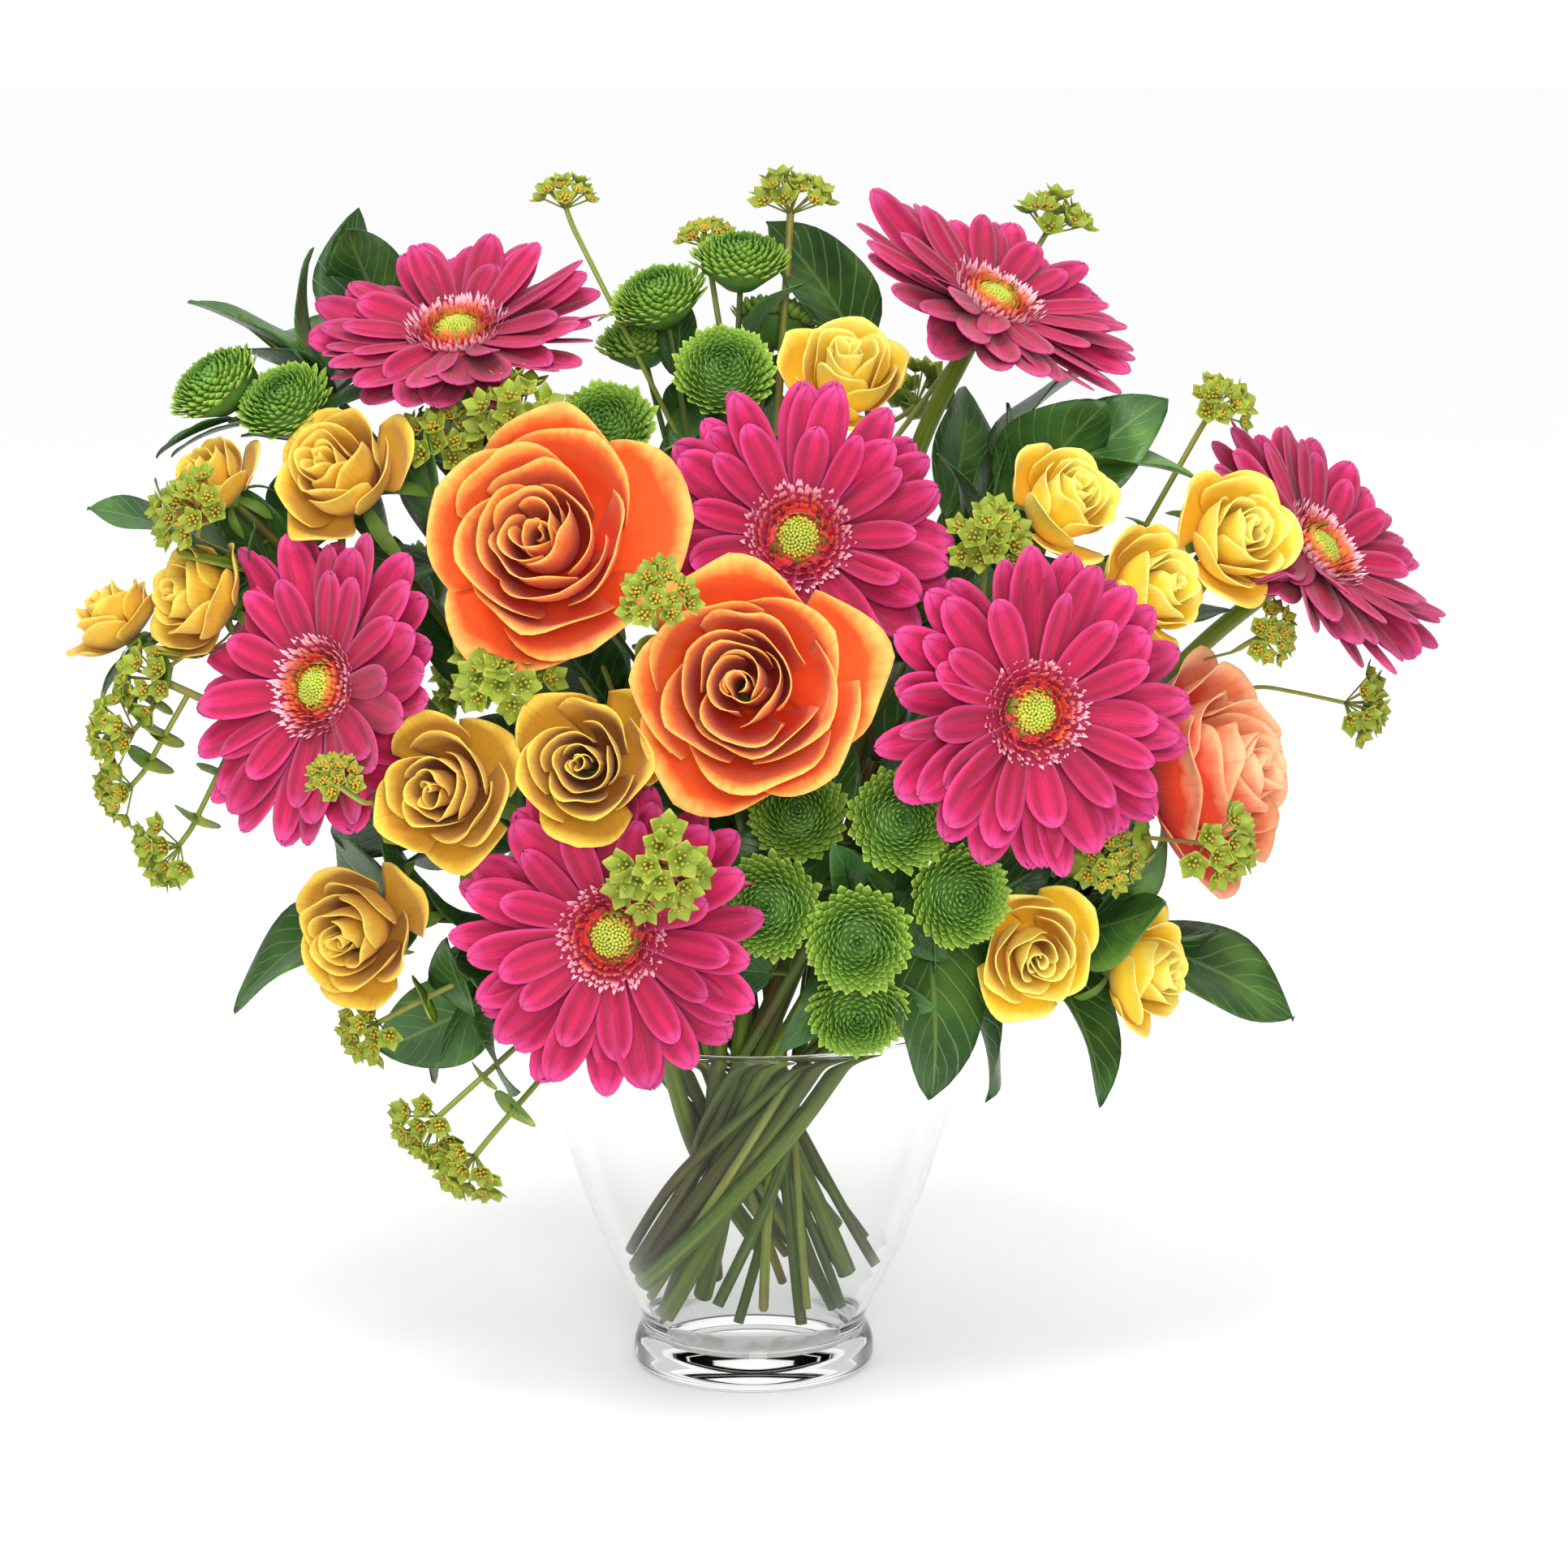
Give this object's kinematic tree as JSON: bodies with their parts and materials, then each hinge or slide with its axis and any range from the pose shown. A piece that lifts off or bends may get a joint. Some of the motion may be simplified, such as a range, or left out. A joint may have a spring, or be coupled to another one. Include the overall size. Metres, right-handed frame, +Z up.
{
  "type": "bouquet of cut flowers in a glass vase",
  "caption": "Mixed bouquet of pink gerberas, orange and yellow roses, green button chrysanthemums, bupleurum and lemon leaf in a clear glass vase.",
  "frame": {"origin": "centre of the vase's underside, on the surface that it stands on", "axes": "+Z up, out of the vase's mouth; -Y towards the bouquet's front; +X to the right seen from the front"},
  "size_m": [0.4616, 0.2818, 0.4071],
  "materials": {
    "glass": "clear, polished, with a thick base",
    "stem": "fresh green plant stem, faintly ribbed",
    "gerbera": "matt velvety ray petals round a raised eye of tiny florets",
    "orange_rose": "soft matt petals, orange with yellow edges",
    "yellow_rose": "soft matt petals, golden yellow",
    "button_mum": "dense green domes of short quilled petals",
    "bupleurum": "yellow-green florets over small round leaves",
    "lemon_leaf": "leathery dark green leaves, half gloss"
  },
  "bodies": {
    "root": {"vase": "glass", "gerbera_1_stem": "stem", "gerbera_2_stem": "stem", "gerbera_3_stem": "stem", "gerbera_4_stem": "stem", "gerbera_5_stem": "stem", "gerbera_6_stem": "stem", "gerbera_7_stem": "stem", "orange_rose_1_stem": "stem", "orange_rose_2_stem": "stem", "orange_rose_3_stem": "stem", "yellow_rose_spray_1_stem": "stem", "yellow_rose_spray_2_stem": "stem", "yellow_rose_spray_3_stem": "stem", "yellow_rose_spray_4_stem": "stem", "gerbera_1_head": "gerbera", "gerbera_2_head": "gerbera", "gerbera_3_head": "gerbera", "gerbera_4_head": "gerbera", "gerbera_5_head": "gerbera", "gerbera_6_head": "gerbera", "gerbera_7_head": "gerbera", "orange_rose_1_head": "orange_rose", "orange_rose_2_head": "orange_rose", "orange_rose_3_head": "orange_rose", "yellow_rose_1": "yellow_rose", "yellow_rose_2": "yellow_rose", "yellow_rose_3": "yellow_rose", "yellow_rose_4": "yellow_rose", "yellow_rose_5": "yellow_rose", "yellow_rose_6": "yellow_rose", "yellow_rose_7": "yellow_rose", "yellow_rose_8": "yellow_rose", "yellow_rose_9": "yellow_rose", "yellow_rose_10": "yellow_rose", "yellow_rose_11": "yellow_rose", "yellow_rose_12": "yellow_rose", "yellow_rose_13": "yellow_rose", "button_mum_spray_1": "button_mum", "button_mum_spray_2": "button_mum", "button_mum_spray_3": "button_mum", "button_mum_spray_4": "button_mum", "bupleurum_spray_1": "bupleurum", "bupleurum_spray_2": "bupleurum", "bupleurum_spray_3": "bupleurum", "bupleurum_spray_4": "bupleurum", "bupleurum_spray_5": "bupleurum", "bupleurum_spray_6": "bupleurum", "lemon_leaf_sprig_1": "lemon_leaf", "lemon_leaf_sprig_2": "lemon_leaf", "lemon_leaf_sprig_3": "lemon_leaf", "lemon_leaf_sprig_4": "lemon_leaf", "lemon_leaf_sprig_5": "lemon_leaf", "lemon_leaf_sprig_6": "lemon_leaf", "lemon_leaf_sprig_7": "lemon_leaf"}
  },
  "joints": []
}
